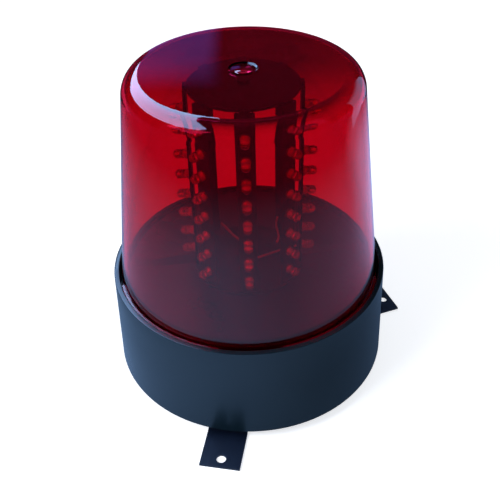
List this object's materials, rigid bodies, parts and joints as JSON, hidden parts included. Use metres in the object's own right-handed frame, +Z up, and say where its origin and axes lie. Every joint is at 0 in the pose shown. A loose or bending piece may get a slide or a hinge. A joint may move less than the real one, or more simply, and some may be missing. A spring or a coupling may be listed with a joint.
{
  "type": "beacon light",
  "caption": "Round warning beacon: a tapered clear red dome that lifts off a black drum base on flat mounting feet, over an upright tower of LED strips.",
  "frame": {"origin": "on the dome's axis, at the level of the mounting feet's underside and the centre of their bolt circle", "axes": "+Z up along the dome's axis; -Y towards the viewer of the picture; the power inlet is on the +Y side"},
  "size_m": [0.1851, 0.1849, 0.1889],
  "materials": {
    "black_abs": "satin moulded black",
    "red_dome": "clear red, polished",
    "black_steel": "black painted sheet",
    "zinc_steel": "bright zinc plate",
    "gasket_rubber": "matt black",
    "black_circuit": "black solder mask",
    "red_led": "clear red epoxy",
    "pillar_alloy": "turned",
    "red_wire": "red insulation",
    "green_circuit": "green solder mask",
    "black_chip": "moulded epoxy",
    "capacitor_sleeve": "dark blue sleeve",
    "terminal_plastic": "green moulded",
    "inlet_plastic": "black moulded",
    "contact_brass": "plain"
  },
  "bodies": {
    "base": {"base_housing": "black_abs", "bottom_plate": "black_steel", "bottom_plate_screws": "zinc_steel", "mounting_foot_front": "black_steel", "mounting_foot_right": "black_steel", "mounting_foot_rear": "black_steel", "foot_rivets": "zinc_steel", "dome_gasket": "gasket_rubber", "tower_lower_plate": "black_circuit", "tower_upper_plate": "black_circuit", "tower_pillar": "pillar_alloy", "tower_screws": "zinc_steel", "tower_leads": "red_wire", "tower_harness": "red_wire", "control_board": "green_circuit", "board_posts": "pillar_alloy", "board_screws": "zinc_steel", "smoothing_capacitor": "capacitor_sleeve", "pattern_chip": "black_chip", "lead_terminals": "terminal_plastic", "dc_inlet": "inlet_plastic", "inlet_pin": "contact_brass", "inlet_nut": "zinc_steel", "led_strip_1": "black_circuit", "leds_1": "red_led", "led_strip_2": "black_circuit", "leds_2": "red_led", "led_strip_3": "black_circuit", "leds_3": "red_led", "led_strip_4": "black_circuit", "leds_4": "red_led", "led_strip_5": "black_circuit", "leds_5": "red_led", "led_strip_6": "black_circuit", "leds_6": "red_led", "led_strip_7": "black_circuit", "leds_7": "red_led", "led_strip_8": "black_circuit", "leds_8": "red_led"},
    "dome": {"dome": "red_dome"}
  },
  "joints": [
    {"name": "dome_lift", "type": "slide", "parent": "base", "child": "dome", "axis": [0, 0, 1], "range_m": [0, 0.13]}
  ]
}
